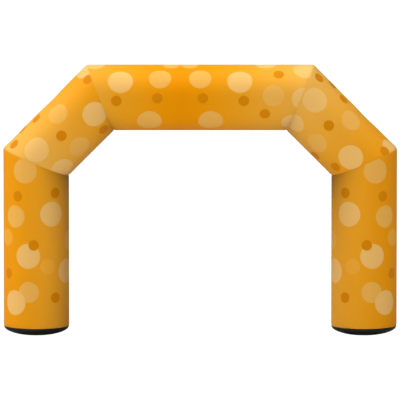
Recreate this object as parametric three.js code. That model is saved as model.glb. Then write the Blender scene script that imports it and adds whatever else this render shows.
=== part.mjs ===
// An inflatable event arch: one air-filled cloth tube bent into two legs, two
// sloping haunches and a level beam, standing on two black base caps.
//
// Millimetres, +Z up. X runs along the span and Y through the passage. The
// origin lies on the ground, midway between the legs.
//
// The tube is sewn from five printed cloth panels that meet at mitred seams.
// Each panel is one hollow sleeve of cloth, open at both ends, and the caps
// close the tube at the ground. At every seam the cloth is drawn in a little.

import * as THREE from "three";

// Driving dimensions
const SPAN = 6000; // overall width, outside one leg to outside the other
const TUBE_DIAMETER = 1000; // outside of the inflated tube
const HEIGHT = 4120; // overall height, ground to the top of the beam
const HAUNCH_RISE = 980; // rise, and run, of a haunch's centre line
const CAP_DEPTH = 128; // ground to the base seam
const FOOT_RADIUS = 250; // flat patch of a cap that bears on the ground

// Cloth and sewing
const CLOTH = 3; // thickness of the cloth wall
const SEAM_GAP = 0.3; // clearance between the edges of two sewn pieces
const SEAM_DRAW = 6; // how far the cloth is drawn in at a seam
const SEAM_REACH = 45; // distance from a seam over which it is drawn in
const SEAM_STATIONS = [0, 0.4, 1]; // rings near a seam, as shares of SEAM_REACH

// Facets
const SIDES = 64; // flats around the tube
const CAP_RINGS = 6; // rings down the curve of a cap

// Worked out from the above
const RADIUS = TUBE_DIAMETER / 2;
const LEG_X = SPAN / 2 - RADIUS; // centre line of a leg
const BEAM_Z = HEIGHT - RADIUS; // centre line of the beam
const SHOULDER_Z = BEAM_Z - HAUNCH_RISE; // where leg and haunch centre lines meet
const BEAM_HALF = LEG_X - HAUNCH_RISE; // where haunch and beam centre lines meet
const FOOT_ANGLE = Math.acos(FOOT_RADIUS / RADIUS); // where a cap's curve meets its flat patch
const CAP_BULGE = CAP_DEPTH / Math.sin(FOOT_ANGLE); // depth the curve would reach without the ground
const HAUNCH_TILT = Math.PI / 4;
const MITRE = HAUNCH_TILT / 2; // each seam plane halves the bend
const SQUARE_END = { slope: 0, gap: SEAM_GAP / 2 };
const MITRED_END = { slope: Math.tan(MITRE), gap: SEAM_GAP / 2 / Math.cos(MITRE) };

const printedCloth = () =>
  new THREE.MeshStandardMaterial({ color: 0xe8951a, roughness: 0.62, metalness: 0 });
const baseCloth = () =>
  new THREE.MeshStandardMaterial({ color: 0x16181a, roughness: 0.5, metalness: 0 });

/** How far the cloth lies inside the full radius, at a distance from a seam. */
function drawIn(distance) {
  const share = Math.min(distance / SEAM_REACH, 1);
  return SEAM_DRAW * (1 - share) ** 2;
}

/** Points (radius, height) of a sleeve's outer face, from one seam to the other. */
function sleeveFace(length, startGap, endGap) {
  const rising = SEAM_STATIONS.map((share) => share * SEAM_REACH);
  const nearStart = rising.map(
    (d) => new THREE.Vector2(RADIUS - drawIn(d), startGap + d),
  );
  const nearEnd = rising.map(
    (d) => new THREE.Vector2(RADIUS - drawIn(d), length - endGap - d),
  );
  return [...nearStart, ...nearEnd.reverse()];
}

/**
 * A sleeve of cloth along +Z, its centre line running from z = 0 to length. At a
 * mitred end its +X side is the longer one, on the outside of the bend.
 */
function sleeve(length, start, end) {
  const outer = sleeveFace(length, start.gap, end.gap);
  const inner = outer.map((p) => new THREE.Vector2(p.x - CLOTH, p.y)).reverse();
  const wall = [...outer, ...inner, outer[0].clone()];
  const geometry = new THREE.LatheGeometry(wall, SIDES).rotateX(Math.PI / 2);
  const place = geometry.getAttribute("position");
  for (let i = 0; i < place.count; i++) {
    const x = place.getX(i);
    const z = place.getZ(i);
    place.setZ(i, z < length / 2 ? z - start.slope * x : z + end.slope * x);
  }
  return geometry;
}

/** A base cap: a dish of cloth whose underside is flat where it bears on the ground. */
function baseCap() {
  const rim = CAP_DEPTH - SEAM_GAP / 2;
  const outer = [new THREE.Vector2(0, 0)];
  for (let ring = 0; ring <= CAP_RINGS; ring++) {
    const angle = FOOT_ANGLE * (1 - ring / CAP_RINGS);
    const fall = CAP_BULGE * Math.sin(angle);
    const height = ring === 0 ? 0 : (CAP_DEPTH - fall) * (rim / CAP_DEPTH);
    const radius = RADIUS * Math.cos(angle) - drawIn(CAP_DEPTH - height);
    outer.push(new THREE.Vector2(radius, Math.max(height, 0)));
  }
  const inner = outer.map((p) => new THREE.Vector2(Math.max(p.x - CLOTH, 0), p.y + CLOTH));
  inner[inner.length - 1].y = rim;
  const dish = [...outer, ...inner.reverse()];
  return new THREE.LatheGeometry(dish, SIDES).rotateX(Math.PI / 2);
}

/** A named mesh of one cloth piece. */
function piece(name, geometry, material) {
  const mesh = new THREE.Mesh(geometry, material);
  mesh.name = name;
  return mesh;
}

/** The leg, haunch and base cap of one side, standing at -X. */
function halfArch(side) {
  const half = new THREE.Group();
  const cap = piece(`${side}_base_cap`, baseCap(), baseCloth());
  cap.position.set(-LEG_X, 0, 0);

  const legLength = SHOULDER_Z - CAP_DEPTH;
  const leg = piece(`${side}_leg`, sleeve(legLength, SQUARE_END, MITRED_END), printedCloth());
  leg.rotation.z = Math.PI; // the longer side faces away from the passage
  leg.position.set(-LEG_X, 0, CAP_DEPTH);

  const haunchLength = Math.hypot(HAUNCH_RISE, HAUNCH_RISE);
  const haunch = piece(
    `${side}_haunch`,
    sleeve(haunchLength, MITRED_END, MITRED_END),
    printedCloth(),
  );
  haunch.rotation.z = Math.PI;
  const tilted = new THREE.Group();
  tilted.position.set(-LEG_X, 0, SHOULDER_Z);
  tilted.rotation.y = HAUNCH_TILT; // leans in towards the beam
  tilted.add(haunch);

  half.add(cap, leg, tilted);
  return half;
}

/** The level beam, joining the two haunches. */
function beam() {
  const panel = piece("beam", sleeve(2 * BEAM_HALF, MITRED_END, MITRED_END), printedCloth());
  panel.rotation.z = Math.PI;
  const level = new THREE.Group();
  level.position.set(-BEAM_HALF, 0, BEAM_Z);
  level.rotation.y = Math.PI / 2;
  level.add(panel);
  return level;
}

const arch = new THREE.Group();
const rightHalf = halfArch("right");
rightHalf.rotation.z = Math.PI;
arch.add(halfArch("left"), beam(), rightHalf);

export default arch;
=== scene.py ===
"""Looks of an inflatable event arch.

A cloth tube, blown up by air, is bent into two legs, two sloping haunches and a
level beam. Its five printed panels are sewn together at mitred seams, and a
black base cap closes the foot of each leg. Lengths are in metres. X runs along
the span, Y runs through the passage and Z points up.
"""

from __future__ import annotations

import logging
import math
from collections.abc import Iterable, Sequence
from dataclasses import dataclass, field
from enum import Enum

import bmesh
import bpy
import numpy as np
from mathutils import Matrix, Vector
from mathutils.bvhtree import BVHTree


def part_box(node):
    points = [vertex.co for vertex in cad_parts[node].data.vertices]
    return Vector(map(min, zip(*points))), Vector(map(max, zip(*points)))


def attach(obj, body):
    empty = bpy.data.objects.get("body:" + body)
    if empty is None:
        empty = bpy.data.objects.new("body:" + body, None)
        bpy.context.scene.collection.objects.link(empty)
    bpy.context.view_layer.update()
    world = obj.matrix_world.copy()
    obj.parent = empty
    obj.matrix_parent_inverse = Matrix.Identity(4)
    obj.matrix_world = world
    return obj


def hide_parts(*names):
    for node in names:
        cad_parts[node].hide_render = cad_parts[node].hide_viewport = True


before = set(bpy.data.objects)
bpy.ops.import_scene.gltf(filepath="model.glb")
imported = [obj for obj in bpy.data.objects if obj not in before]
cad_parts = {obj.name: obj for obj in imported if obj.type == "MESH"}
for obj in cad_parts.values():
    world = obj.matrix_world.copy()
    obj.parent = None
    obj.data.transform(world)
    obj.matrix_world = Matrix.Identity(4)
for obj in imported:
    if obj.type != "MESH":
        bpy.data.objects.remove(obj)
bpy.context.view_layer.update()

log = logging.getLogger("arch")

BODY = "root"
PRINT_MAP = "print_map"
FULL_TURN = 2 * math.pi
MILLIMETRE = 0.001
SEALING_DISTANCE = 0.02 * MILLIMETRE
SEAM_NOISE_STEP = 3.7
PANEL_NOISE_STEP = 11.3
EVEN_FADE_POWER = 2.0
BEAD_SEGMENTS = 6
BEAD_RINGS = 5
LAMP_DISTANCE = 10.0

LEG_SEED = 1
HAUNCH_SEED = 5
BEAM_SEED = 9
CAP_STITCH_SEED = 40

Colour = tuple[float, float, float]
Socket = bpy.types.NodeSocket
Feed = Socket | float | int | tuple

WHITE: Colour = (1.0, 1.0, 1.0)


# --------------------------------------------------------------------------- node helpers


class Graph:
    """Adds nodes to one node tree and joins their sockets."""

    def __init__(self, tree: bpy.types.NodeTree) -> None:
        """Wraps the tree that the nodes go into."""
        self.tree = tree

    def add(self, kind: str, feeds: dict[str | int, Feed] | None = None, **settings) -> bpy.types.Node:
        """Adds a node.

        Args:
            kind: the node's type name.
            feeds: a value or a socket for each named or numbered input.
            settings: the node's own properties.

        Returns:
            The new node.
        """
        node = self.tree.nodes.new(kind)
        for name, value in settings.items():
            setattr(node, name, value)
        for key, feed in (feeds or {}).items():
            self.feed(node.inputs[key], feed)
        return node

    def feed(self, socket: Socket, feed: Feed) -> None:
        """Joins an input to a socket, or sets the input's own value.

        Args:
            socket: the input.
            feed: the socket that feeds it, or its value.
        """
        if isinstance(feed, Socket):
            self.tree.links.new(feed, socket)
        else:
            socket.default_value = feed

    def math(self, operation: str, *values: Feed, clamp: bool = False) -> Socket:
        """Works out a number.

        Args:
            operation: the Math node's operation.
            values: its inputs, in order.
            clamp: whether the result stays between 0 and 1.

        Returns:
            The result's socket.
        """
        feeds = dict(enumerate(values))
        return self.add("ShaderNodeMath", feeds, operation=operation, use_clamp=clamp).outputs[0]

    def split(self, vector: Feed) -> tuple[Socket, ...]:
        """Takes a vector apart into X, Y and Z."""
        return tuple(self.add("ShaderNodeSeparateXYZ", {0: vector}).outputs)

    def join(self, x: Feed, y: Feed, z: Feed = 0.0) -> Socket:
        """Makes a vector of its three parts."""
        return self.add("ShaderNodeCombineXYZ", {"X": x, "Y": y, "Z": z}).outputs[0]

    def noise(self, vector: Feed, scale: Feed, detail: float) -> Socket:
        """Makes soft, cloudy noise between 0 and 1."""
        feeds = {"Vector": vector, "Scale": scale, "Detail": detail}
        return self.add("ShaderNodeTexNoise", feeds).outputs["Fac"]

    def ramp(self, value: Feed, low: float, high: float, start: float, end: float) -> Socket:
        """Takes a number smoothly from one range to another.

        Args:
            value: the number.
            low: where the change starts.
            high: where it ends.
            start: the result at low.
            end: the result at high.

        Returns:
            The result's socket.
        """
        feeds = {"Value": value, "From Min": low, "From Max": high, "To Min": start, "To Max": end}
        node = self.add("ShaderNodeMapRange", feeds, interpolation_type="SMOOTHSTEP")
        return node.outputs["Result"]

    def attribute(self, name: str) -> Socket:
        """Reads a number that the mesh keeps for each of its points."""
        return self.add("ShaderNodeAttribute", attribute_name=name).outputs["Fac"]

    def blend(self, share: Feed, under: Feed, over: Feed, mode: str = "MIX") -> Socket:
        """Mixes two colours.

        Args:
            share: how much of the upper colour shows.
            under: the lower colour.
            over: the upper colour.
            mode: how the two colours mix.

        Returns:
            The mixed colour's socket.
        """
        node = self.add("ShaderNodeMix", data_type="RGBA", blend_type=mode)
        self.feed(node.inputs[0], share)
        self.feed(node.inputs[6], under)
        self.feed(node.inputs[7], over)
        return node.outputs[2]


class Group(Graph):
    """A node group with named inputs and outputs, built once and reused."""

    def __init__(self, name: str, kind: str = "ShaderNodeTree") -> None:
        """Starts an empty group with its two end nodes.

        Args:
            name: the group's name.
            kind: the type name of its tree.
        """
        super().__init__(bpy.data.node_groups.new(name, kind))
        self.source = self.tree.nodes.new("NodeGroupInput")
        self.sink = self.tree.nodes.new("NodeGroupOutput")

    def take(self, name: str, kind: str = "Float", value: Feed | None = None) -> Socket:
        """Adds a named input.

        Args:
            name: the input's name.
            kind: Float, Int, Vector, Color, Geometry or Material.
            value: its default.

        Returns:
            The socket to read inside the group.
        """
        item = self.tree.interface.new_socket(name, in_out="INPUT", socket_type=f"NodeSocket{kind}")
        if value is not None:
            item.default_value = value
        return self.source.outputs[name]

    def give(self, name: str, kind: str, feed: Socket) -> None:
        """Adds a named output and joins it to a socket."""
        self.tree.interface.new_socket(name, in_out="OUTPUT", socket_type=f"NodeSocket{kind}")
        self.tree.links.new(feed, self.sink.inputs[name])


def rgba(colour: Colour) -> tuple[float, float, float, float]:
    """Gives an opaque colour its fourth value."""
    return (*colour, 1.0)


def grow(name: str, group: Group, base: bpy.types.Mesh, inputs: dict[str, Feed]) -> bpy.types.Mesh:
    """Runs a Geometry Nodes tree once and keeps its result as a plain mesh.

    Args:
        name: the name of the new mesh.
        group: the tree.
        base: the mesh that the tree starts from.
        inputs: the value of each named input.

    Returns:
        The tree's result, with no modifier left.
    """
    carrier = bpy.data.objects.new(f"{name}_carrier", base)
    bpy.context.scene.collection.objects.link(carrier)
    modifier = carrier.modifiers.new(group.tree.name, "NODES")
    modifier.node_group = group.tree
    for item in group.tree.interface.items_tree:
        if item.in_out == "INPUT" and item.name in inputs:
            modifier[item.identifier] = inputs[item.name]
    evaluated = carrier.evaluated_get(bpy.context.evaluated_depsgraph_get())
    mesh = bpy.data.meshes.new_from_object(evaluated)
    mesh.name = name
    bpy.data.objects.remove(carrier)
    bpy.data.meshes.remove(base)
    return mesh


def show(name: str, mesh: bpy.types.Mesh) -> bpy.types.Object:
    """Puts a mesh in the scene as an object at the origin.

    Args:
        name: the object's name.
        mesh: its mesh.

    Returns:
        The object.
    """
    thing = bpy.data.objects.new(name, mesh)
    bpy.context.scene.collection.objects.link(thing)
    return thing


def tidy_shell(mesh: bpy.types.Mesh, crease: float) -> None:
    """Points a closed shell's faces outwards and smooths them.

    Args:
        mesh: the shell.
        crease: edges bent by more than this angle stay sharp, in radians.
    """
    work = bmesh.new()
    work.from_mesh(mesh)
    bmesh.ops.recalc_face_normals(work, faces=work.faces)
    work.to_mesh(mesh)
    work.free()
    mesh.polygons.foreach_set("use_smooth", [True] * len(mesh.polygons))
    mesh.set_sharp_from_angle(angle=crease)
    mesh.update()


# --------------------------------------------------------------------------- sizes


class Side(Enum):
    """Which leg a piece belongs to, as the sign of its X."""

    LEFT = -1
    RIGHT = 1

    @property
    def label(self) -> str:
        """The word that starts the side's piece names."""
        return self.name.lower()


@dataclass(frozen=True)
class ArchPlan:
    """The arch's centre line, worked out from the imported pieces.

    The centre line runs up a leg, along a haunch at 45 degrees and along the beam.
    """

    radius: float
    leg_x: float
    cap_depth: float
    shoulder_z: float
    beam_half: float
    beam_z: float

    seam_gap: float = 0.3 * MILLIMETRE
    cloth: float = 3 * MILLIMETRE
    draw: float = 6 * MILLIMETRE
    draw_reach: float = 45 * MILLIMETRE
    tilt: float = math.pi / 4

    @classmethod
    def from_frame(cls) -> ArchPlan:
        """Reads the sizes off the boxes of a leg and the beam.

        Returns:
            The plan.
        """
        leg_low, leg_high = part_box("right_leg")
        beam_low, beam_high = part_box("beam")
        radius = (leg_high.y - leg_low.y) / 2
        leg_x = (leg_low.x + leg_high.x) / 2
        beam_z = (beam_low.z + beam_high.z) / 2
        mitre = cls.tilt / 2
        drawn_reach = (radius - cls.draw) * math.tan(mitre)
        beam_half = beam_high.x + cls.seam_gap / 2 / math.cos(mitre) - drawn_reach
        return cls(
            radius=radius,
            leg_x=leg_x,
            cap_depth=leg_low.z - cls.seam_gap / 2,
            shoulder_z=beam_z - (leg_x - beam_half),
            beam_half=beam_half,
            beam_z=beam_z,
        )

    @property
    def mitre(self) -> float:
        """The angle of a seam to a square cut."""
        return self.tilt / 2

    @property
    def girth(self) -> float:
        """The length round the tube."""
        return FULL_TURN * self.radius

    def draw_in(self, distance: np.ndarray | float) -> np.ndarray | float:
        """How far the cloth lies inside the full radius near a seam.

        Args:
            distance: the way from the seam.

        Returns:
            The depth of the draw.
        """
        share = np.clip(np.asarray(distance) / self.draw_reach, 0, 1)
        return self.draw * (1 - share) ** 2


@dataclass(frozen=True)
class Shade:
    """Painted shade: brown darkening painted into the cloth on the inside of the arch next to a seam, where
    the inside corners fall into shade.
    """

    depth: float = 0.0
    reach: float = 1.0


@dataclass(frozen=True)
class SeamEnd:
    """One end of a sleeve: how steeply it is cut, its share of the seam gap, and the painted shade beside it.
    """

    slope: float
    gap: float
    shade: Shade = Shade()

    @classmethod
    def square(cls, plan: ArchPlan) -> SeamEnd:
        """An end cut straight across."""
        return cls(0.0, plan.seam_gap / 2)

    @classmethod
    def mitred(cls, plan: ArchPlan, shade: Shade = Shade()) -> SeamEnd:
        """An end cut to half the bend of the tube."""
        return cls(math.tan(plan.mitre), plan.seam_gap / 2 / math.cos(plan.mitre), shade)


@dataclass(frozen=True)
class Trough:
    """A soft dip in the blown-up cloth, placed as a Dot is."""

    along: float
    around: float
    depth: float
    half_length: float = 0.13
    half_width: float = 0.16

    def inset(self, along: np.ndarray, around: np.ndarray) -> np.ndarray:
        """How far each point of a panel sinks.

        Args:
            along: where each point lies along the panel.
            around: where it lies round the panel.

        Returns:
            The depths.
        """
        way = ((along - self.along) / self.half_length) ** 2 + ((around - self.around) / self.half_width) ** 2
        return self.depth * np.exp(-way / 2)


LEFT_HAUNCH_TROUGHS = (
    Trough(0.00, 0.79, 5 * MILLIMETRE),
    Trough(0.85, 0.79, 9 * MILLIMETRE),
)

RIGHT_HAUNCH_TROUGHS = (
    Trough(0.12, 0.79, 3 * MILLIMETRE),
    Trough(0.47, 0.79, 10 * MILLIMETRE),
    Trough(0.91, 0.79, 3 * MILLIMETRE),
)


# --------------------------------------------------------------------------- the print


class Tone(Enum):
    """The inks of the printed dots, from the lowest layer to the top one."""

    HONEY = "honey"
    SAND = "sand"
    CREAM = "cream"
    AMBER = "amber"

    @property
    def layer(self) -> str:
        """The attribute that holds the distance to the nearest dot of this ink."""
        return f"dots_{self.value}"


BIG = 0.19
MIDDLE = 0.16
SMALL = 0.081
FAR_FROM_DOTS = 1.0
FADE_LAYER = "ground_fade"
# Per-point share of the painted shade at the inside corners.
PAINTED_SHADE_LAYER = "painted_corner_shade"


@dataclass(frozen=True)
class Dot:
    """One printed dot.

    along is measured from where the panel's centre line starts, and around from the
    middle of the panel's front, towards the outside of the arch.
    """

    along: float
    around: float
    radius: float
    tone: Tone


@dataclass(frozen=True)
class Fade:
    """How the orange ground pales, from 0 for deep orange to 1 for pale.

    It pales with the distance from one place along the panel, and from the outside
    of the arch to the inside.
    """

    deepest: float = 0.0
    least: float = 0.0
    per_metre: float = 0.0
    across: float = 0.0

    def values(self, along: np.ndarray, angle: np.ndarray) -> np.ndarray:
        """Works out the fade of every point of a panel.

        Args:
            along: where each point lies along the panel.
            angle: its direction round the tube, from the middle of the front.

        Returns:
            The fades.
        """
        paling = self.per_metre * np.abs(along - self.deepest)
        return self.least + paling - self.across * np.sin(angle)


@dataclass(frozen=True)
class PanelPrint:
    """The scattered dots of one panel and the fade of its ground.

    The dots near the middle of the front are printed again on the back, turned end
    for end. Those at the sides of the tube wrap from front to back.
    """

    dots: tuple[Dot, ...]
    fade: Fade
    wrap_limit: float = 0.5

    def all_dots(self, length: float, girth: float) -> list[Dot]:
        """Adds the dots of the back.

        Args:
            length: the panel's length along its centre line.
            girth: the length round the tube.

        Returns:
            Every dot on the panel.
        """
        behind = [
            Dot(length - d.along, girth / 2 - d.around, d.radius, d.tone)
            for d in self.dots
            if abs(d.around) < self.wrap_limit
        ]
        return [*self.dots, *behind]

    def distances(
        self, tone: Tone, along: np.ndarray, around: np.ndarray, length: float, girth: float
    ) -> np.ndarray:
        """Measures every point of a panel to the edge of the nearest dot of one ink.

        Args:
            tone: the ink.
            along: where each point lies along the panel.
            around: where it lies round the panel.
            length: the panel's length along its centre line.
            girth: the length round the tube.

        Returns:
            The distances, which are negative inside a dot.
        """
        nearest = np.full(along.shape, FAR_FROM_DOTS)
        for dot in self.all_dots(length, girth):
            if dot.tone is tone:
                aside = (around - dot.around + girth / 2) % girth - girth / 2
                nearest = np.minimum(nearest, np.hypot(along - dot.along, aside) - dot.radius)
        return nearest


LEG_PRINT = PanelPrint(
    (
        Dot(0.39, 0.35, BIG, Tone.CREAM),
        Dot(1.11, 0.12, BIG, Tone.CREAM),
        Dot(1.71, 0.34, 0.17, Tone.SAND),
        Dot(1.75, -0.26, BIG, Tone.CREAM),
        Dot(0.86, -0.57, BIG, Tone.CREAM),
        Dot(0.56, 0.11, MIDDLE, Tone.SAND),
        Dot(1.38, 0.52, 0.13, Tone.HONEY),
        Dot(2.41, 0.17, BIG, Tone.SAND),
        Dot(0.95, -0.19, 0.12, Tone.HONEY),
        Dot(1.32, -0.69, MIDDLE, Tone.SAND),
        Dot(0.47, -0.32, SMALL, Tone.AMBER),
        Dot(0.83, 0.49, SMALL, Tone.AMBER),
        Dot(1.28, 0.03, SMALL, Tone.AMBER),
        Dot(2.02, 0.29, SMALL, Tone.AMBER),
        Dot(2.07, -0.32, SMALL, Tone.AMBER),
    ),
    Fade(least=0.385, across=0.24),
)

LEFT_HAUNCH_PRINT = PanelPrint(
    (
        Dot(0.17, 0.15, BIG, Tone.CREAM),
        Dot(1.56, 0.62, BIG, Tone.CREAM),
        Dot(0.22, -0.39, BIG, Tone.CREAM),
        Dot(1.18, -0.10, BIG, Tone.CREAM),
        Dot(0.66, -0.31, 0.165, Tone.SAND),
        Dot(0.78, 0.33, MIDDLE, Tone.SAND),
        Dot(-0.03, 0.53, SMALL, Tone.AMBER),
        Dot(0.21, 0.72, SMALL, Tone.AMBER),
        Dot(0.48, 0.61, SMALL, Tone.AMBER),
        Dot(0.59, 0.03, SMALL, Tone.AMBER),
        Dot(1.10, -0.41, SMALL, Tone.AMBER),
        Dot(1.47, 0.39, SMALL, Tone.AMBER),
    ),
    Fade(deepest=2.11, per_metre=0.44),
)

RIGHT_HAUNCH_PRINT = PanelPrint(
    (
        Dot(-0.15, 0.55, BIG, Tone.CREAM),
        Dot(0.23, -0.08, BIG, Tone.CREAM),
        Dot(1.23, 0.16, BIG, Tone.CREAM),
        Dot(1.20, -0.35, MIDDLE, Tone.CREAM),
        Dot(0.62, 0.35, MIDDLE, Tone.SAND),
        Dot(0.74, -0.31, MIDDLE, Tone.SAND),
        Dot(-0.08, 0.39, SMALL, Tone.AMBER),
        Dot(0.28, -0.39, SMALL, Tone.AMBER),
        Dot(0.61, -0.57, SMALL, Tone.AMBER),
        Dot(0.81, 0.03, SMALL, Tone.AMBER),
        Dot(0.91, 0.59, SMALL, Tone.AMBER),
        Dot(1.18, 0.69, SMALL, Tone.AMBER),
        Dot(1.41, 0.52, SMALL, Tone.AMBER),
    ),
    Fade(deepest=-0.72, per_metre=0.44),
)

BEAM_PRINT = PanelPrint(
    (
        Dot(0.31, 0.30, BIG, Tone.CREAM),
        Dot(2.12, 0.30, BIG, Tone.CREAM),
        Dot(3.12, 0.55, BIG, Tone.CREAM),
        Dot(0.91, 0.35, 0.17, Tone.SAND),
        Dot(1.52, 0.35, 0.17, Tone.SAND),
        Dot(3.08, 0.02, 0.17, Tone.CREAM),
        Dot(-0.09, 0.73, 0.165, Tone.CREAM),
        Dot(1.08, 0.71, 0.13, Tone.SAND),
        Dot(1.36, 0.71, 0.13, Tone.SAND),
        Dot(2.52, 0.75, 0.165, Tone.CREAM),
        Dot(0.75, -0.36, BIG, Tone.SAND),
        Dot(1.68, -0.36, BIG, Tone.SAND),
        Dot(2.63, 0.07, 0.165, Tone.SAND),
        Dot(2.91, -0.40, MIDDLE, Tone.CREAM),
        Dot(0.25, -0.01, SMALL, Tone.AMBER),
        Dot(0.87, 0.03, SMALL, Tone.AMBER),
        Dot(1.56, 0.03, SMALL, Tone.AMBER),
        Dot(2.18, -0.01, SMALL, Tone.AMBER),
        Dot(2.50, -0.22, SMALL, Tone.AMBER),
        Dot(2.71, 0.43, SMALL, Tone.AMBER),
    ),
    Fade(deepest=1.23, per_metre=0.46),
)


# --------------------------------------------------------------------------- shared effects


class Effects:
    """Shader groups that several cloths share, each built once."""

    def __init__(self) -> None:
        """Builds every group."""
        self.weave = self._weave()
        self.dust = self._dust()
        self.ink = self._ink()
        self.lap = self._lap()

    @staticmethod
    def _weave() -> Group:
        """A plain weave, read from the cloth's own flat map.

        Returns:
            The group, which gives the height of the threads and their thick and thin places.
        """
        group = Group("plain_weave")
        flat = group.take("Flat", "Vector")
        pitch = group.take("Pitch", value=0.002)
        unevenness = group.take("Unevenness", value=0.4)
        slub_scale = group.take("Slub Scale", value=160.0)
        over_share = group.take("Over Share", value=0.25)
        turns = group.math("DIVIDE", math.pi, pitch)
        around, along, _ = group.split(flat)
        weft = group.math("SINE", group.math("MULTIPLY", around, turns))
        warp = group.math("SINE", group.math("MULTIPLY", along, turns))
        checker = group.math("MULTIPLY", weft, warp)
        threads = group.math("ABSOLUTE", checker)
        over = group.math("MULTIPLY_ADD", checker, over_share, threads)
        slub = group.math("MULTIPLY", group.noise(flat, slub_scale, 2.0), unevenness)
        group.give("Height", "Float", group.math("ADD", over, slub))
        group.give("Slub", "Float", slub)
        return group

    @staticmethod
    def _dust() -> Group:
        """Dust that gathers low on the arch, with soft cloudy edges.

        Returns:
            The group, which gives the dust's mask.
        """
        group = Group("ground_dust")
        place = group.take("Place", "Vector")
        reach = group.take("Reach", value=0.25)
        cloud_scale = group.take("Cloud Scale", value=9.0)
        speck_scale = group.take("Speck Scale", value=70.0)
        spread = group.take("Spread", value=1.6)
        _, _, height = group.split(place)
        ragged = group.math("MULTIPLY_ADD", group.noise(place, cloud_scale, 5.0), reach, height)
        rise = group.math("DIVIDE", ragged, group.math("MULTIPLY", reach, spread))
        low = group.math("SUBTRACT", 1.0, rise, clamp=True)
        group.give("Mask", "Float", group.math("MULTIPLY", low, group.noise(place, speck_scale, 3.0)))
        return group

    @staticmethod
    def _ink() -> Group:
        """One layer of printed dots over the colour below it.

        Returns:
            The group, which gives the colour with the dots on it.
        """
        group = Group("dot_ink")
        below = group.take("Below", "Color")
        ink = group.take("Ink", "Color")
        distance = group.take("Distance")
        bleed = group.take("Bleed", value=0.003)
        inside = group.math("SUBTRACT", 0.5, group.math("DIVIDE", distance, bleed), clamp=True)
        group.give("Color", "Color", group.blend(inside, below, ink))
        return group

    @staticmethod
    def _lap() -> Group:
        """The doubled cloth of the lengthwise seam, as a raised strip with soft edges.

        Returns:
            The group, which gives the height of the strip.
        """
        group = Group("seam_lap")
        flat = group.take("Flat", "Vector")
        half_girth = group.take("Half Girth", value=1.57)
        half_width = group.take("Half Width", value=0.013)
        softness = group.take("Softness", value=0.1)
        around = group.math("ABSOLUTE", group.split(flat)[0])
        aside = group.math("DIVIDE", group.math("SUBTRACT", half_girth, around), half_width)
        start, end = group.math("SUBTRACT", 1.0, softness), group.math("ADD", 1.0, softness)
        group.give("Height", "Float", group.ramp(aside, start, end, 1.0, 0.0))
        return group


def use(graph: Graph, group: Group, feeds: dict[str, Feed]) -> bpy.types.Node:
    """Places a shared group in a material.

    Args:
        graph: the material's nodes.
        group: the shared group.
        feeds: a value or a socket for each named input.

    Returns:
        The group's node.
    """
    node = graph.add("ShaderNodeGroup", node_tree=group.tree)
    for name, feed in feeds.items():
        graph.feed(node.inputs[name], feed)
    return node


# --------------------------------------------------------------------------- finishes


def new_material(name: str) -> tuple[bpy.types.Material, Graph, bpy.types.Node]:
    """Starts a material.

    Args:
        name: the material's name.

    Returns:
        The material, its nodes and its Principled shader.
    """
    material = bpy.data.materials.new(name)
    material.use_nodes = True
    graph = Graph(material.node_tree)
    return material, graph, material.node_tree.nodes["Principled BSDF"]


@dataclass(frozen=True)
class WovenCloth:
    """A plain woven cloth, dusty towards the ground."""

    name: str
    colour: Colour
    roughness: float
    specular: float
    specular_tint: Colour = WHITE
    weave_pitch: float = 2 * MILLIMETRE
    weave_depth: float = 0.25 * MILLIMETRE
    weave_strength: float = 0.6
    unevenness: float = 0.5
    thin_places: float = 0.95
    thick_places: float = 1.05
    dust_reach: float = 0.22
    dust_share: float = 0.08
    dust_colour: Colour = (0.30, 0.22, 0.14)

    def material(self, effects: Effects) -> bpy.types.Material:
        """Builds the material.

        Args:
            effects: the shared shader groups.

        Returns:
            The finished material.
        """
        material, graph, shader = new_material(self.name)
        place = graph.add("ShaderNodeTexCoord").outputs["Object"]
        flat = graph.add("ShaderNodeUVMap", uv_map=PRINT_MAP).outputs["UV"]
        weave = use(
            graph, effects.weave, {"Flat": flat, "Pitch": self.weave_pitch, "Unevenness": self.unevenness}
        )
        dust = use(graph, effects.dust, {"Place": place, "Reach": self.dust_reach})
        tint = graph.ramp(weave.outputs["Slub"], 0.0, self.unevenness, self.thin_places, self.thick_places)
        clean = graph.blend(1.0, self._dyed(graph, effects), tint, "MULTIPLY")
        soiled = graph.math("MULTIPLY", dust.outputs["Mask"], self.dust_share)
        graph.feed(shader.inputs["Base Color"], graph.blend(soiled, clean, rgba(self.dust_colour)))
        graph.feed(shader.inputs["Roughness"], graph.math("ADD", self.roughness, soiled))
        graph.feed(shader.inputs["Specular IOR Level"], self.specular)
        graph.feed(shader.inputs["Specular Tint"], rgba(self.specular_tint))
        threads = {
            "Height": weave.outputs["Height"],
            "Distance": self.weave_depth,
            "Strength": self.weave_strength,
            **self._relief(graph, effects, flat),
        }
        graph.feed(shader.inputs["Normal"], graph.add("ShaderNodeBump", threads).outputs["Normal"])
        return material

    def _dyed(self, graph: Graph, effects: Effects) -> Feed:
        """The colour of the clean cloth."""
        return rgba(self.colour)

    def _relief(self, graph: Graph, effects: Effects, flat: Socket) -> dict[str, Feed]:
        """What the threads of the cloth are raised from: nothing but its surface."""
        return {}


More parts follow.
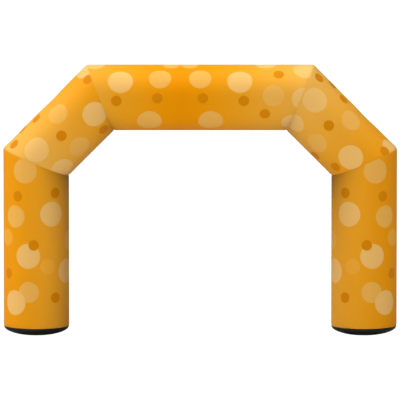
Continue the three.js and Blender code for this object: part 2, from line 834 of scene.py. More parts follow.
@dataclass(frozen=True)
class PrintedClothWithPaintedShade(WovenCloth):
    """Woven polyester with an orange ground that fades from deep to pale, opaque dots, and painted shade
    darkening its inside corners.
    """

    pale: Colour = (0.745, 0.397, 0.0745)
    honey: Colour = (0.78, 0.348, 0.033)
    sand: Colour = (0.745, 0.384, 0.073)
    cream: Colour = (0.77, 0.445, 0.130)
    amber: Colour = (0.61, 0.204, 0.001)
    # The colour that the painted shade of the inside corners darkens towards.
    shade: Colour = (0.0, 0.0, 0.0)
    half_girth: float = 1.57
    lap_width: float = 26 * MILLIMETRE
    lap_height: float = 1.5 * MILLIMETRE

    def _dyed(self, graph: Graph, effects: Effects) -> Feed:
        """Prints the fading ground and the dots, and paints shade over the inside corners.

        Args:
            graph: the material's nodes.
            effects: the shared shader groups.

        Returns:
            The printed colour.
        """
        colour = self._ground(graph)
        inks = {Tone.HONEY: self.honey, Tone.SAND: self.sand, Tone.CREAM: self.cream, Tone.AMBER: self.amber}
        for tone in Tone:
            feeds = {"Below": colour, "Ink": rgba(inks[tone]), "Distance": graph.attribute(tone.layer)}
            colour = use(graph, effects.ink, feeds).outputs[0]
        # Painted shade: the inside corners are darkened towards black, as if in shade.
        return graph.blend(graph.attribute(PAINTED_SHADE_LAYER), colour, rgba(self.shade))

    def _ground(self, graph: Graph) -> Socket:
        """Mixes the ground by the square roots of its two colours, as the eye sees an even fade.

        Args:
            graph: the material's nodes.

        Returns:
            The ground's colour.
        """
        deep, pale = (rgba(tuple(map(math.sqrt, colour))) for colour in (self.colour, self.pale))
        mixed = graph.blend(graph.attribute(FADE_LAYER), deep, pale)
        return graph.add("ShaderNodeGamma", {"Color": mixed, "Gamma": EVEN_FADE_POWER}).outputs["Color"]

    def _relief(self, graph: Graph, effects: Effects, flat: Socket) -> dict[str, Feed]:
        """Raises the lap of the lengthwise seam under the threads.

        Args:
            graph: the material's nodes.
            effects: the shared shader groups.
            flat: the cloth's own flat map.

        Returns:
            The lap's normal, for the threads to stand on.
        """
        feeds = {"Flat": flat, "Half Girth": self.half_girth, "Half Width": self.lap_width / 2}
        lap = use(graph, effects.lap, feeds)
        raised = graph.add("ShaderNodeBump", {"Height": lap.outputs["Height"], "Distance": self.lap_height})
        return {"Normal": raised.outputs["Normal"]}


@dataclass(frozen=True)
class Thread:
    """Twisted polyester sewing thread."""

    name: str
    colour: Colour
    roughness: float = 0.5
    twist_pitch: float = 1.2 * MILLIMETRE
    twist_depth: float = 0.15 * MILLIMETRE
    painted_hollow_shade: float = 0.8
    painted_crest_highlight: float = 1.1

    def material(self) -> bpy.types.Material:
        """Builds the material, with the twist in its bump and painted into its colour as shade in the hollows
        and highlight on the crests.

        Returns:
            The finished material.
        """
        material, graph, shader = new_material(self.name)
        place = graph.add("ShaderNodeTexCoord").outputs["Object"]
        x, y, z = graph.split(place)
        slant = graph.math("ADD", graph.math("ADD", x, y), z)
        twist = graph.math("SINE", graph.math("MULTIPLY", slant, FULL_TURN / self.twist_pitch))
        # Painted shade and highlight: hollows of the twist darker, crests lighter.
        tint = graph.ramp(twist, -1.0, 1.0, self.painted_hollow_shade, self.painted_crest_highlight)
        graph.feed(shader.inputs["Base Color"], graph.blend(1.0, rgba(self.colour), tint, "MULTIPLY"))
        graph.feed(shader.inputs["Roughness"], self.roughness)
        bump = graph.add("ShaderNodeBump", {"Height": twist, "Distance": self.twist_depth})
        graph.feed(shader.inputs["Normal"], bump.outputs["Normal"])
        return material


@dataclass(frozen=True)
class PlainFloor:
    """A pale matt floor, lifted to white for the camera so that shadows on it stay faint."""

    colour: Colour = (0.45, 0.45, 0.45)
    roughness: float = 0.9
    lift: float = 0.88
    glow: float = 1.22

    def material(self) -> bpy.types.Material:
        """Builds the material.

        Returns:
            The finished material.
        """
        material, graph, shader = new_material("plain_floor")
        graph.feed(shader.inputs["Base Color"], rgba(self.colour))
        graph.feed(shader.inputs["Roughness"], self.roughness)
        graph.feed(shader.inputs["Specular IOR Level"], 0.0)
        white = graph.add("ShaderNodeEmission", {"Color": rgba(WHITE), "Strength": self.glow})
        seen = graph.add("ShaderNodeLightPath").outputs["Is Camera Ray"]
        mixed = graph.add("ShaderNodeMixShader", {0: graph.math("MULTIPLY", seen, self.lift)})
        graph.feed(mixed.inputs[1], shader.outputs[0])
        graph.feed(mixed.inputs[2], white.outputs[0])
        graph.feed(material.node_tree.nodes["Material Output"].inputs["Surface"], mixed.outputs[0])
        return material


# --------------------------------------------------------------------------- shape rules


class SleeveRule(Group):
    """The Geometry Nodes tree of a cloth sleeve with mitred ends.

    One grid is wrapped round the tube. Its rows run up the outer face of the cloth,
    back down the inner face and close on themselves. The sleeve runs along +Z, with
    +X on the outside of the bend and +Y towards the front.
    """

    def __init__(self) -> None:
        """Builds the tree."""
        super().__init__("mitred_sleeve", "GeometryNodeTree")
        self.take("Geometry", "Geometry")
        self.radius = self.take("Radius", value=0.5)
        length = self.take("Length", value=2.0)
        start_slope = self.take("Start Slope", value=0.0)
        end_slope = self.take("End Slope", value=0.0)
        start_gap = self.take("Start Gap", value=0.0)
        end_gap = self.take("End Gap", value=0.0)
        cloth = self.take("Cloth", value=0.003)
        self.draw = self.take("Draw", value=0.006)
        self.draw_reach = self.take("Draw Reach", value=0.045)
        self.pucker = self.take("Pucker", value=0.001)
        self.pucker_reach = self.take("Pucker Reach", value=0.04)
        self.pucker_scale = self.take("Pucker Scale", value=6.0)
        self.seed = self.take("Seed", value=0.0)
        around = self.take("Around", "Int", 96)
        self.rows = self.take("Along", "Int", 96)
        self.bunching = self.take("Bunching", value=0.6)
        material = self.take("Material", "Material")

        self.steps = self.math("MULTIPLY_ADD", self.rows, 2.0, 2.0)
        grid = self.add(
            "GeometryNodeMeshGrid",
            {
                "Size X": 1.0,
                "Size Y": 1.0,
                "Vertices X": self.math("ADD", around, 1.0),
                "Vertices Y": self.math("ADD", self.steps, 1.0),
            },
        )
        across, up, _ = self.split(self.add("GeometryNodeInputPosition").outputs[0])
        angle = self.math("MULTIPLY", across, FULL_TURN)
        sine, cosine = self.math("SINE", angle), self.math("COSINE", angle)
        share, inner = self._walk(up)

        slopes = self.math("ADD", start_slope, end_slope)
        plain = self.math("SUBTRACT", self.math("SUBTRACT", length, start_gap), end_gap)
        span = self.math("MULTIPLY_ADD", slopes, self.math("MULTIPLY", self.radius, sine), plain)
        inset = self.math("MULTIPLY", inner, cloth)
        for index, way in enumerate((share, self.math("SUBTRACT", 1.0, share))):
            pulled = self._seam_pull(self.math("MULTIPLY", way, span), sine, cosine, index)
            inset = self.math("ADD", inset, pulled)

        reach = self.math("SUBTRACT", self.radius, inset)
        x, y = self.math("MULTIPLY", reach, sine), self.math("MULTIPLY", reach, cosine)
        first = self.math("SUBTRACT", start_gap, self.math("MULTIPLY", start_slope, x))
        z = self.math("MULTIPLY_ADD", share, self.math("MULTIPLY_ADD", slopes, x, plain), first)
        flat = self.join(self.math("MULTIPLY", self.radius, angle), z)
        self._finish(grid.outputs["Mesh"], self.join(x, y, z), flat, material)

    def _walk(self, up: Socket) -> tuple[Socket, Socket]:
        """Leads the grid's rows up the outer face and back down the inner face.

        Args:
            up: the height of a point on the flat grid, from -0.5 to 0.5.

        Returns:
            The share of the way along the sleeve, closer together near the seams, and
            1 on the inner face.
        """
        step = self.math("ROUND", self.math("MULTIPLY", self.math("ADD", up, 0.5), self.steps))
        outer = self.math("LESS_THAN", step, self.math("ADD", self.rows, 0.5))
        before_last = self.math("LESS_THAN", step, self.math("SUBTRACT", self.steps, 0.5))
        inner = self.math("MULTIPLY", self.math("SUBTRACT", 1.0, outer), before_last)
        turned = self.math("SUBTRACT", self.math("SUBTRACT", self.steps, 1.0), step)
        rising = self.math("MULTIPLY", outer, step)
        even = self.math("DIVIDE", self.math("MULTIPLY_ADD", inner, turned, rising), self.rows)
        wave = self.math("SINE", self.math("MULTIPLY", even, FULL_TURN))
        bunched = self.math("MULTIPLY", wave, self.math("DIVIDE", self.bunching, FULL_TURN))
        return self.math("SUBTRACT", even, bunched), inner

    def _seam_pull(self, distance: Socket, sine: Socket, cosine: Socket, index: int) -> Socket:
        """Draws the cloth in at a seam and puckers it unevenly beside it.

        Args:
            distance: the way from the seam.
            sine: the sine of the direction round the tube.
            cosine: its cosine.
            index: 0 for the seam at the start and 1 for the seam at the end.

        Returns:
            How far the cloth lies inside the full radius.
        """
        near = self.math("SUBTRACT", 1.0, self.math("DIVIDE", distance, self.draw_reach), clamp=True)
        drawn = self.math("MULTIPLY", self.draw, self.math("MULTIPLY", near, near))
        spread = self.math("DIVIDE", distance, self.pucker_reach)
        fading = self.math("MULTIPLY", spread, self.math("EXPONENT", self.math("SUBTRACT", 1.0, spread)))
        ring = self.join(sine, cosine, self.math("ADD", self.seed, SEAM_NOISE_STEP * index))
        noise = self.noise(ring, self.pucker_scale, 1.0)
        ripple = self.math("MULTIPLY", self.math("SUBTRACT", noise, 0.5), 2.0)
        return self.math("MULTIPLY_ADD", self.pucker, self.math("MULTIPLY", fading, ripple), drawn)

    def _finish(self, grid: Socket, place: Socket, flat: Socket, material: Socket) -> None:
        """Wraps the grid, seals its edges and dresses it.

        Args:
            grid: the flat grid.
            place: where each of its points goes.
            flat: each point's place on the flat cloth.
            material: the cloth's material.
        """
        mapped = self.add(
            "GeometryNodeStoreNamedAttribute", {"Geometry": grid}, data_type="FLOAT2", domain="CORNER"
        )
        self.feed(mapped.inputs["Name"], PRINT_MAP)
        self.feed(mapped.inputs["Value"], flat)
        wrapped = self.add("GeometryNodeSetPosition", {"Geometry": mapped.outputs[0], "Position": place})
        closed = self.add(
            "GeometryNodeMergeByDistance", {"Geometry": wrapped.outputs[0], "Distance": SEALING_DISTANCE}
        )
        real = self.add("GeometryNodeRealizeInstances", {"Geometry": closed.outputs[0]})
        dressed = self.add("GeometryNodeSetMaterial", {"Geometry": real.outputs[0], "Material": material})
        self.give("Geometry", "Geometry", dressed.outputs[0])


class StitchRule(Group):
    """The Geometry Nodes tree that sews stitches along rows of edges."""

    def __init__(self) -> None:
        """Builds the tree."""
        super().__init__("stitch_rows", "GeometryNodeTree")
        rows = self.take("Geometry", "Geometry")
        pitch = self.take("Pitch", value=0.012)
        length = self.take("Stitch Length", value=0.009)
        thread = self.take("Thread", value=0.002)
        wobble = self.take("Wobble", value=0.05)
        seed = self.take("Seed", "Int", 1)
        material = self.take("Material", "Material")

        line = self.add("GeometryNodeMeshToCurve", {"Mesh": rows})
        feeds = {"Curve": line.outputs[0], "Length": pitch}
        spaced = self.add("GeometryNodeResampleCurve", feeds, mode="LENGTH")
        tangent = self.add("GeometryNodeInputTangent")
        turned = self.add("FunctionNodeAlignRotationToVector", {"Vector": tangent.outputs[0]}, axis="Z")
        facets = {"Segments": BEAD_SEGMENTS, "Rings": BEAD_RINGS, "Radius": 0.5}
        bead = self.add("GeometryNodeMeshUVSphere", facets)
        shape = self.join(thread, thread, length)
        stitch = self.add("GeometryNodeTransform", {"Geometry": bead.outputs["Mesh"], "Scale": shape})
        uneven = self.add("FunctionNodeRandomValue", data_type="FLOAT")
        self.feed(uneven.inputs[2], self.math("SUBTRACT", 1.0, wobble))
        self.feed(uneven.inputs[3], self.math("ADD", 1.0, wobble))
        self.feed(uneven.inputs["Seed"], seed)
        placed = self.add(
            "GeometryNodeInstanceOnPoints",
            {"Points": spaced.outputs[0], "Instance": stitch.outputs[0], "Rotation": turned.outputs[0]},
        )
        self.feed(placed.inputs["Scale"], uneven.outputs[1])
        real = self.add("GeometryNodeRealizeInstances", {"Geometry": placed.outputs[0]})
        smooth = self.add("GeometryNodeSetShadeSmooth", {"Geometry": real.outputs[0]})
        dressed = self.add("GeometryNodeSetMaterial", {"Geometry": smooth.outputs[0], "Material": material})
        self.give("Geometry", "Geometry", dressed.outputs[0])


# --------------------------------------------------------------------------- sub-assemblies


@dataclass
class StitchRows:
    """Rows of stitches that lie on a piece of cloth."""

    rule: Group
    pitch: float = 12 * MILLIMETRE
    stitch_length: float = 9 * MILLIMETRE
    thread: float = 2.2 * MILLIMETRE
    lift: float = 0.4 * MILLIMETRE

    def sew(
        self,
        name: str,
        cloth: bpy.types.Mesh,
        rows: Iterable[tuple[Sequence[Vector], bool]],
        material: bpy.types.Material,
        seed: int,
    ) -> bpy.types.Object:
        """Sews the rows.

        Args:
            name: the name of the piece of stitching.
            cloth: the mesh that the rows are laid on.
            rows: the points of each row, and whether it closes on itself.
            material: the thread.
            seed: sets the small unevenness of the stitches.

        Returns:
            The stitching.
        """
        tree = BVHTree.FromPolygons(
            [v.co for v in cloth.vertices], [tuple(p.vertices) for p in cloth.polygons]
        )
        points: list[Vector] = []
        edges: list[tuple[int, int]] = []
        for row, closed in rows:
            first = len(points)
            for point in row:
                spot, normal, _, _ = tree.find_nearest(point)
                points.append(spot + normal * self.lift)
            edges += [(i, i + 1) for i in range(first, len(points) - 1)]
            if closed:
                edges.append((len(points) - 1, first))
        base = bpy.data.meshes.new(f"{name}_rows")
        base.from_pydata(points, edges, [])
        inputs = {
            "Pitch": self.pitch,
            "Stitch Length": self.stitch_length,
            "Thread": self.thread,
            "Seed": seed,
            "Material": material,
        }
        return show(name, grow(name, self.rule, base, inputs))


@dataclass
class TubePanel:
    """One printed sleeve of the tube.

    foot is where its centre line starts, axis the way it runs, and outside the way
    from the centre line to the outside of the arch.
    """

    name: str
    plan: ArchPlan
    foot: Vector
    axis: Vector
    outside: Vector
    length: float
    start: SeamEnd
    end: SeamEnd
    design: PanelPrint
    seed: int
    troughs: tuple[Trough, ...] = ()
    facets_around: int = 160
    row_height: float = 17 * MILLIMETRE
    pucker: float = 1.2 * MILLIMETRE
    pucker_reach: float = 38 * MILLIMETRE
    row_inset: float = 9 * MILLIMETRE
    back_rows: float = 14 * MILLIMETRE
    crease: float = math.radians(40)
    painted_shade_turn: float = 1.3
    mesh: bpy.types.Mesh | None = None

    @property
    def matrix(self) -> Matrix:
        """Carries a point from the sleeve's own axes to the arch's.

        Returns:
            The sleeve's place and turn.
        """
        front = Vector((0.0, -1.0, 0.0))
        turn = Matrix((self.outside, front, self.axis)).transposed()
        return Matrix.Translation(self.foot) @ turn.to_4x4()

    @property
    def long_side(self) -> float:
        """The length of the cut cloth along its longest thread."""
        return self.length + self.plan.radius * (self.start.slope + self.end.slope)

    def build(self, rule: Group, material: bpy.types.Material) -> bpy.types.Object:
        """Makes the sleeve, prints it and puts it in its place.

        Args:
            rule: the sleeve's Geometry Nodes tree.
            material: the printed cloth, with its painted shade.

        Returns:
            The panel.
        """
        inputs = {
            "Radius": self.plan.radius,
            "Length": self.length,
            "Start Slope": self.start.slope,
            "End Slope": self.end.slope,
            "Start Gap": self.start.gap,
            "End Gap": self.end.gap,
            "Cloth": self.plan.cloth,
            "Draw": self.plan.draw,
            "Draw Reach": self.plan.draw_reach,
            "Pucker": self.pucker,
            "Pucker Reach": self.pucker_reach,
            "Seed": PANEL_NOISE_STEP * self.seed,
            "Around": self.facets_around,
            "Along": round(self.long_side / self.row_height),
            "Material": material,
        }
        self.mesh = grow(f"{self.name}_panel", rule, bpy.data.meshes.new(f"{self.name}_start"), inputs)
        self._shape_print_and_paint_shade()
        self.mesh.transform(self.matrix)
        tidy_shell(self.mesh, self.crease)
        return show(self.mesh.name, self.mesh)

    def _shape_print_and_paint_shade(self) -> None:
        """Sinks the troughs, and stores the fade, the painted shade of the inside corners and the distances
        to the dots.
        """
        places = np.empty(len(self.mesh.vertices) * 3)
        self.mesh.vertices.foreach_get("co", places)
        x, y, along = places.reshape(-1, 3).T
        angle = np.arctan2(x, y)
        around = self.plan.radius * angle
        self._store(FADE_LAYER, self.design.fade.values(along, angle))
        self._store(PAINTED_SHADE_LAYER, self._painted_shading(x, along, angle))
        for tone in Tone:
            self._store(tone.layer, self.design.distances(tone, along, around, self.length, self.plan.girth))
        sunk = sum((trough.inset(along, around) for trough in self.troughs), np.zeros(along.shape))
        keep = 1 - sunk * self._clear_of_seams(x, along) / self.plan.radius
        self.mesh.vertices.foreach_set("co", np.column_stack((x * keep, y * keep, along)).ravel())

    def _seam_distances(self, x: np.ndarray, along: np.ndarray) -> tuple[np.ndarray, np.ndarray]:
        """Measures every point of the sleeve to both end seams.

        Args:
            x: each point's distance towards the outside of the arch.
            along: where it lies along the panel.

        Returns:
            The ways to the seam at the start and to the seam at the end.
        """
        return along + self.start.slope * x, self.length + self.end.slope * x - along

    def _clear_of_seams(self, x: np.ndarray, along: np.ndarray) -> np.ndarray:
        """Rises from 0 on an end seam to 1 a little way from it.

        Args:
            x: each point's distance towards the outside of the arch.
            along: where it lies along the panel.

        Returns:
            The share of a trough that the seams let form.
        """
        nearest = np.minimum(*self._seam_distances(x, along))
        return np.clip(nearest / (2 * self.plan.draw_reach), 0, 1)

    def _store(self, layer: str, values: np.ndarray) -> None:
        """Keeps one number for every point of the mesh."""
        self.mesh.attributes.new(layer, "FLOAT", "POINT").data.foreach_set("value", values.astype(np.float32))

    def _painted_shading(self, x: np.ndarray, along: np.ndarray, angle: np.ndarray) -> np.ndarray:
        """Works out the painted shade of the inside corners.

        Args:
            x: each point's distance towards the outside of the arch.
            along: where it lies along the panel.
            angle: its direction round the tube.

        Returns:
            The painted shade, from 0 to 1.
        """
        # Painted shade: darkest on the inside of the tube next to each shaded seam, fading away from it.
        inside = np.clip(-np.sin(angle), 0, 1) ** self.painted_shade_turn
        shading = np.zeros(along.shape)
        for end, way in zip((self.start, self.end), self._seam_distances(x, along)):
            shading += end.shade.depth * np.exp(-np.clip(way, 0, None) / end.shade.reach) * inside
        return shading

    def seam_row(self, end: SeamEnd, at_start: bool, inset: float) -> list[Vector]:
        """Follows a seam at a distance from it.

        Args:
            end: the seam's end of the sleeve.
            at_start: whether that is where the sleeve starts.
            inset: the distance from the seam.

        Returns:
            The points of one turn round the tube.
        """
        row = []
        reach = self.plan.radius - float(self.plan.draw_in(inset))
        for step in range(2 * self.facets_around):
            angle = FULL_TURN * step / (2 * self.facets_around)
            x, y = reach * math.sin(angle), reach * math.cos(angle)
            away = end.gap + inset - end.slope * x
            row.append(self.matrix @ Vector((x, y, away if at_start else self.length - away)))
        return row

    def back_row(self, offset: float) -> list[Vector]:
        """Follows the lengthwise seam on the back of the sleeve.

        Args:
            offset: how far to the side of the seam the row runs.

        Returns:
            The points of the row, from one end to the other.
        """
        margin = 2 * self.row_inset
        count = round(self.length / self.row_height)
        angle = math.pi + offset / self.plan.radius
        x, y = self.plan.radius * math.sin(angle), self.plan.radius * math.cos(angle)
        return [
            self.matrix @ Vector((x, y, margin + (self.length - 2 * margin) * step / count))
            for step in range(count + 1)
        ]

    def stitch(self, rows: StitchRows, thread: bpy.types.Material) -> bpy.types.Object:
        """Sews both end seams and the lengthwise seam at the back.

        Args:
            rows: the stitching recipe.
            thread: the thread's material.

        Returns:
            The stitching.
        """
        laid = [
            (self.seam_row(self.start, True, self.row_inset), True),
            (self.seam_row(self.end, False, self.row_inset), True),
            (self.back_row(-self.back_rows / 2), False),
            (self.back_row(self.back_rows / 2), False),
        ]
        return rows.sew(f"{self.name}_stitching", self.mesh, laid, thread, self.seed)

    def declare(self, panel: bpy.types.Object, stitching: bpy.types.Object) -> None:
        """Hangs the finished pieces on the arch's body and hides the imported piece that they stand in for.

        Args:
            panel: the sleeve.
            stitching: its stitches.
        """
        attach(panel, BODY)
        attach(stitching, BODY)
        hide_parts(self.name)


@dataclass(frozen=True)
class Wave:
    """One ripple of gathered cloth round a cap, shifted the other way on the other leg."""

    share: float
    count: int
    phase: float = 0.0
    side_shift: float = 0.0


@dataclass
class BaseCap:
    """The black dish of coated cloth that closes the foot of a leg."""

    side: Side
    plan: ArchPlan
    foot_radius: float = 0.25
    facets_around: int = 160
    curve_rings: int = 22
    foot_rings: int = 5
    pucker: float = 1.4 * MILLIMETRE
    waves: tuple[Wave, ...] = (
        Wave(0.5, 19, phase=0.4),
        Wave(0.3, 31, side_shift=1.0),
        Wave(0.2, 53, phase=2.1),
    )
    row_inset: float = 9 * MILLIMETRE
    crease: float = math.radians(50)
    mesh: bpy.types.Mesh | None = None

    @property
    def name(self) -> str:
        """The cap's name, which is also its node's."""
        return f"{self.side.label}_base_cap"

    @property
    def rim(self) -> float:
        """The height of the cap's upper edge."""
        return self.plan.cap_depth - self.plan.seam_gap / 2

    def profile(self) -> list[tuple[float, float]]:
        """Follows the outer face from the middle of the foot to the rim.

        Returns:
            The radius and height of each of its rings.
        """
        flat = [(self.foot_radius * ring / self.foot_rings, 0.0) for ring in range(self.foot_rings + 1)]
        start = math.acos(self.foot_radius / self.plan.radius)
        bulge = self.plan.cap_depth / math.sin(start)
        curve = []
        for ring in range(1, self.curve_rings + 1):
            angle = start * (1 - ring / self.curve_rings)
            fall = bulge * math.sin(angle)
            height = (self.plan.cap_depth - fall) * self.rim / self.plan.cap_depth
            drawn = float(self.plan.draw_in(self.plan.cap_depth - height))
            curve.append((self.plan.radius * math.cos(angle) - drawn, height))
        return flat + curve

    def _pucker(self, angle: float, height: float) -> float:
        """How far the gathered cloth stands in or out.

        Args:
            angle: the direction from the cap's middle.
            height: the height above the ground.

        Returns:
            The change of radius.
        """
        ripple = 0.0
        for wave in self.waves:
            phase = wave.phase + wave.side_shift * self.side.value
            ripple += wave.share * math.sin(wave.count * angle + phase)
        rise = height / self.rim
        return self.pucker * ripple * 4 * rise * (1 - rise)

    def build(self, material: bpy.types.Material) -> bpy.types.Object:
        """Makes the cap as a closed shell.

        Args:
            material: the coated cloth.

        Returns:
            The cap.
        """
        outer = self.profile()
        inner = [(max(r - self.plan.cloth, 0.0), z + self.plan.cloth) for r, z in outer]
        inner[-1] = (inner[-1][0], self.rim)
        path = outer + inner[::-1]
        centre = self.side.value * self.plan.leg_x
        work = bmesh.new()
        flat = work.loops.layers.uv.new(PRINT_MAP)
        rings = []
        for radius, height in path:
            ring = []
            for step in range(self.facets_around):
                angle = FULL_TURN * step / self.facets_around
                reach = radius + (self._pucker(angle, height) if radius > self.foot_radius else 0.0)
                spot = (centre + reach * math.cos(angle), reach * math.sin(angle), height)
                ring.append(work.verts.new(spot))
            rings.append(ring)
        for below, above in zip(rings, rings[1:]):
            for step in range(self.facets_around):
                after = (step + 1) % self.facets_around
                face = work.faces.new((below[step], below[after], above[after], above[step]))
                for loop in face.loops:
                    loop[flat].uv = (loop.vert.co.x - centre, loop.vert.co.y)
        bmesh.ops.remove_doubles(work, verts=work.verts, dist=SEALING_DISTANCE)
        self.mesh = bpy.data.meshes.new(f"{self.name}_dish")
        work.to_mesh(self.mesh)
        work.free()
        self.mesh.materials.append(material)
        tidy_shell(self.mesh, self.crease)
        return show(self.mesh.name, self.mesh)

    def stitch(self, rows: StitchRows, thread: bpy.types.Material) -> bpy.types.Object:
        """Sews the row below the rim.

        Args:
            rows: the stitching recipe.
            thread: the thread's material.

        Returns:
            The stitching.
        """
        height = self.rim - self.row_inset
        row = []
        for step in range(2 * self.facets_around):
            angle = FULL_TURN * step / (2 * self.facets_around)
            x = self.side.value * self.plan.leg_x + self.plan.radius * math.cos(angle)
            row.append(Vector((x, self.plan.radius * math.sin(angle), height)))
        seed = CAP_STITCH_SEED + self.side.value
        return rows.sew(f"{self.name}_stitching", self.mesh, [(row, True)], thread, seed)

    def flat_side(self) -> float:
        """Measures the cap's disc of cloth along its curve.

        Returns:
            The side of the square that the disc is cut from.
        """
        points = self.profile()
        reach = sum(math.dist(a, b) for a, b in zip(points, points[1:]))
        return 2 * reach

    def declare(self, cap: bpy.types.Object, stitching: bpy.types.Object) -> None:
        """Hangs the finished pieces on the arch's body and hides the imported piece that they stand in for.

        Args:
            cap: the dish of cloth.
            stitching: its stitches.
        """
        side = self.flat_side()
        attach(cap, BODY)
        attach(stitching, BODY)
        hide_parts(self.name)


@dataclass
class Arch:
    """The whole arch: caps, legs, haunches and beam."""

    plan: ArchPlan
    panels: list[TubePanel] = field(default_factory=list)
    caps: list[BaseCap] = field(default_factory=list)

    def lay_out(self) -> None:
        """Places every panel and cap along the centre line."""
        plan = self.plan
        square, mitred = SeamEnd.square(plan), SeamEnd.mitred(plan)
        # Painted shade: these seam ends darken the inside corners under the haunches and at the beam.
        under_haunch = SeamEnd.mitred(plan, Shade(depth=0.60, reach=0.33))
        at_beam = SeamEnd.mitred(plan, Shade(depth=0.35, reach=0.12))
        haunch_length = (plan.leg_x - plan.beam_half) / math.cos(plan.tilt)
        lean = math.sin(plan.tilt)
        haunches = {
            Side.LEFT: (LEFT_HAUNCH_PRINT, LEFT_HAUNCH_TROUGHS),
            Side.RIGHT: (RIGHT_HAUNCH_PRINT, RIGHT_HAUNCH_TROUGHS),
        }
        for index, side in enumerate(Side):
            out = side.value
            design, troughs = haunches[side]
            self.caps.append(BaseCap(side, plan))
            self.panels.append(
                TubePanel(
                    name=f"{side.label}_leg",
                    plan=plan,
                    foot=Vector((out * plan.leg_x, 0.0, plan.cap_depth)),
                    axis=Vector((0.0, 0.0, 1.0)),
                    outside=Vector((float(out), 0.0, 0.0)),
                    length=plan.shoulder_z - plan.cap_depth,
                    start=square,
                    end=under_haunch,
                    design=LEG_PRINT,
                    seed=LEG_SEED + index,
                )
            )
            self.panels.append(
                TubePanel(
                    name=f"{side.label}_haunch",
                    plan=plan,
                    foot=Vector((out * plan.leg_x, 0.0, plan.shoulder_z)),
                    axis=Vector((-out * lean, 0.0, lean)),
                    outside=Vector((out * lean, 0.0, lean)),
                    length=haunch_length,
                    start=mitred,
                    end=at_beam,
                    design=design,
                    seed=HAUNCH_SEED + index,
                    troughs=troughs,
                )
            )
        self.panels.append(
            TubePanel(
                name="beam",
                plan=plan,
                foot=Vector((-plan.beam_half, 0.0, plan.beam_z)),
                axis=Vector((1.0, 0.0, 0.0)),
                outside=Vector((0.0, 0.0, 1.0)),
                length=2 * plan.beam_half,
                start=at_beam,
                end=at_beam,
                design=BEAM_PRINT,
                seed=BEAM_SEED,
            )
        )

    def build(self) -> None:
        """Makes and sews every piece, hangs it on the arch's body and logs it."""
        effects = Effects()
        printed = PrintedClothWithPaintedShade(
            name="printed_cloth",
            colour=(0.745, 0.253, 0.0),
            roughness=0.6,
            specular=0.12,
            specular_tint=(1.0, 0.55, 0.12),
            half_girth=self.plan.girth / 2,
        ).material(effects)
        coated = WovenCloth(
            name="coated_cloth",
            colour=(0.008, 0.0075, 0.006),
            roughness=0.5,
            specular=0.25,
            weave_pitch=3 * MILLIMETRE,
            weave_depth=0.3 * MILLIMETRE,
            weave_strength=0.5,
            unevenness=0.3,
            dust_reach=0.12,
            dust_share=0.10,
            dust_colour=(0.25, 0.22, 0.18),
        ).material(effects)
        bright = Thread(name="orange_thread", colour=(0.70, 0.30, 0.03)).material()
        black = Thread(name="black_thread", colour=(0.02, 0.02, 0.02)).material()
        sleeve = SleeveRule()
        stitches = StitchRows(StitchRule())
        for panel in self.panels:
            cloth = panel.build(sleeve, printed)
            sewing = panel.stitch(stitches, bright)
            panel.declare(cloth, sewing)
            report(cloth, sewing)
        for cap in self.caps:
            cloth = cap.build(coated)
            sewing = cap.stitch(stitches, black)
            cap.declare(cloth, sewing)
            report(cloth, sewing)


def report(*things: bpy.types.Object) -> None:
    """Logs each finished piece with its number of faces."""
    for thing in things:
        log.info("%s: %d faces", thing.name, len(thing.data.polygons))


# --------------------------------------------------------------------------- studio


@dataclass(frozen=True)
class SoftSun:
    """A wide, soft light from one direction.

    turn is measured from the camera's side of the arch towards its right, and
    height is the angle above the floor, both in degrees.
    """

    name: str
    turn: float
    height: float
    strength: float
    softness: float = 24.0

    def place(self) -> None:
        """Adds the light to the scene."""
        light = bpy.data.lights.new(self.name, "SUN")
        light.energy = self.strength
        light.angle = math.radians(self.softness)
        lamp = bpy.data.objects.new(self.name, light)
        turn, height = math.radians(self.turn), math.radians(self.height)
        towards = Vector(
            (math.sin(turn) * math.cos(height), -math.cos(turn) * math.cos(height), math.sin(height))
        )
        lamp.rotation_euler = towards.to_track_quat("Z", "Y").to_euler()
        lamp.location = towards * LAMP_DISTANCE
        bpy.context.scene.collection.objects.link(lamp)


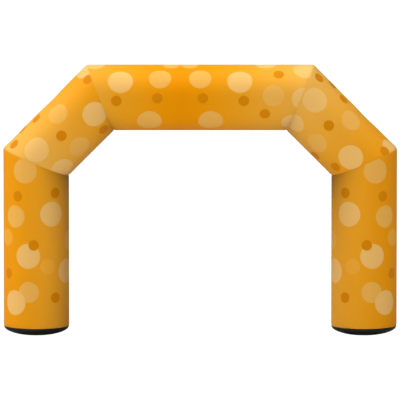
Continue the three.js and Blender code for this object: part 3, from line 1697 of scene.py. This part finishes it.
@dataclass(frozen=True)
class Studio:
    """A pale floor, soft light and a distant camera."""

    plan: ArchPlan
    camera_distance: float = 100.0
    camera_height: float = 5.9
    frame_width: float = 6.10
    nearest_share: float = 0.1
    farthest_share: float = 4.0
    aim_x: float = -0.003
    aim_z: float = 2.049
    floor_size: float = 600.0
    sky: float = 0.0
    suns: tuple[SoftSun, ...] = (
        SoftSun("overhead", -60, 75, 0.79),
        SoftSun("front_low", 0, 3, 1.10),
        SoftSun("front_left_low", -15, 3, 1.73),
        SoftSun("back_left", -105, 45, 2.58),
        SoftSun("back_right", 105, 60, 2.04),
    )

    def build(self) -> None:
        """Makes the floor, the lights, the sky and the camera."""
        self._floor()
        for sun in self.suns:
            sun.place()
        self._sky()
        self._camera()
        bpy.context.scene.view_settings.view_transform = "Standard"

    def _floor(self) -> None:
        """Lays the floor under the arch."""
        half = self.floor_size / 2
        mesh = bpy.data.meshes.new("floor")
        corners = [(-half, -half, 0), (half, -half, 0), (half, half, 0), (-half, half, 0)]
        mesh.from_pydata(corners, [], [(0, 1, 2, 3)])
        mesh.materials.append(PlainFloor().material())
        show("floor", mesh)

    def _sky(self) -> None:
        """Fills the surroundings with even light and a white background."""
        world = bpy.data.worlds.new("studio")
        world.use_nodes = True
        bpy.context.scene.world = world
        graph = Graph(world.node_tree)
        background = world.node_tree.nodes["Background"]
        seen = graph.add("ShaderNodeLightPath").outputs["Is Camera Ray"]
        graph.feed(background.inputs["Color"], rgba(WHITE))
        graph.feed(background.inputs["Strength"], graph.math("MULTIPLY_ADD", seen, 1.0 - self.sky, self.sky))

    def _camera(self) -> None:
        """Aims a long lens at the arch from in front and a little above."""
        data = bpy.data.cameras.new("camera")
        data.lens = data.sensor_width * self.camera_distance / self.frame_width
        data.clip_start = self.camera_distance * self.nearest_share
        data.clip_end = self.camera_distance * self.farthest_share
        camera = bpy.data.objects.new("camera", data)
        height = math.radians(self.camera_height)
        back = Vector((0.0, -math.cos(height), math.sin(height)))
        camera.location = Vector((self.aim_x, 0.0, self.aim_z)) + back * self.camera_distance
        camera.rotation_euler = back.to_track_quat("Z", "Y").to_euler()
        bpy.context.scene.collection.objects.link(camera)
        bpy.context.scene.camera = camera


def main() -> None:
    """Builds the arch and the studio round it."""
    logging.basicConfig(level=logging.INFO, format="%(name)s: %(message)s")
    plan = ArchPlan.from_frame()
    Studio(plan).build()
    arch = Arch(plan)
    arch.lay_out()
    arch.build()


if __name__ == "__main__":
    main()
